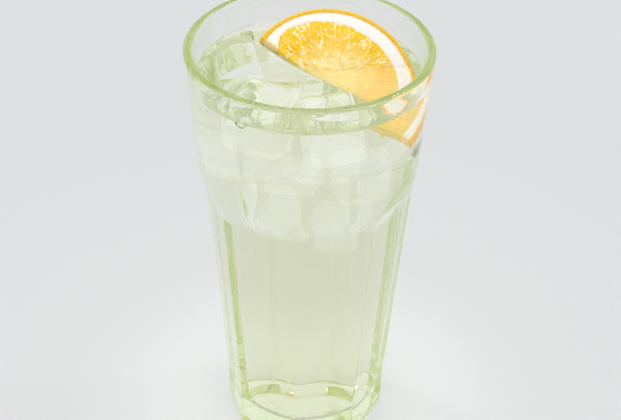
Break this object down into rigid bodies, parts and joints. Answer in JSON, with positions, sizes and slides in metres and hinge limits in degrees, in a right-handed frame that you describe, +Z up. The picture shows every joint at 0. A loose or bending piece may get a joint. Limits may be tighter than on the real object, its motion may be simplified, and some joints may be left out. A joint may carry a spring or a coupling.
{
  "type": "glass of lemonade",
  "caption": "Tall pressed glass tumbler with a smooth collar over flat arched panels, filled with pale lemonade, ice and a half slice of orange.",
  "frame": {"origin": "middle of the glass's underside", "axes": "+Z up along the glass's axis; -Y towards the side seen first, +X to the right of it"},
  "size_m": [0.085, 0.085, 0.1547],
  "materials": {
    "clear_glass": "clear pressed glass with a faint green tint in its rim",
    "lemonade": "clear, very pale yellow-green drink",
    "orange": "wet orange flesh with a white pith ring and a yellow-orange peel",
    "ice": "clear ice with melted, rounded edges"
  },
  "bodies": {
    "root": {"glass": "clear_glass", "drink": "lemonade", "orange_slice": "orange", "ice_left": "ice", "ice_back": "ice", "ice_front_left": "ice", "ice_front_right": "ice"}
  },
  "joints": []
}
